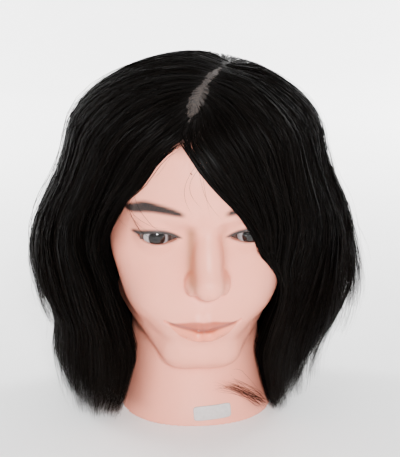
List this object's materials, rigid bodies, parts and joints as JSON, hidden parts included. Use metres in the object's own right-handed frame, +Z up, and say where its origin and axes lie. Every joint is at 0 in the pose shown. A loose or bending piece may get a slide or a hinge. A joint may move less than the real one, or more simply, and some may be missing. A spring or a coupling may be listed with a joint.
{
  "type": "mannequin training head",
  "caption": "Hairdresser's training head: vinyl face and neck over a foam core, parted neck-length hair, inset eyes and a clamp socket in the flat neck base.",
  "frame": {"origin": "middle of the flat neck base, on the surface that the head stands on", "axes": "+Z up, the face looks along -Y, +X is on the head's own left"},
  "size_m": [0.2606, 0.2267, 0.2868],
  "materials": {
    "vinyl_skin": "soft satin vinyl, flesh pink",
    "foam": "cast rigid polyurethane foam",
    "socket_plastic": "moulded satin",
    "eye": "clear gloss over a printed iris",
    "label_paper": "matt self-adhesive paper",
    "hair": "near-black hair with a soft sheen"
  },
  "bodies": {
    "root": {"head_skin": "vinyl_skin", "foam_core": "foam", "base_disc": "socket_plastic", "clamp_socket": "socket_plastic", "eye_left": "eye", "eye_right": "eye", "neck_label": "label_paper", "hair_crown": "hair", "hair_fringe_right": "hair", "hair_fringe_left": "hair", "hair_side_right_upper": "hair", "hair_side_left_upper": "hair", "hair_side_right_lower": "hair", "hair_side_left_lower": "hair", "hair_back_right_upper": "hair", "hair_back_left_upper": "hair", "hair_nape_right": "hair", "hair_nape_left": "hair"}
  },
  "joints": []
}
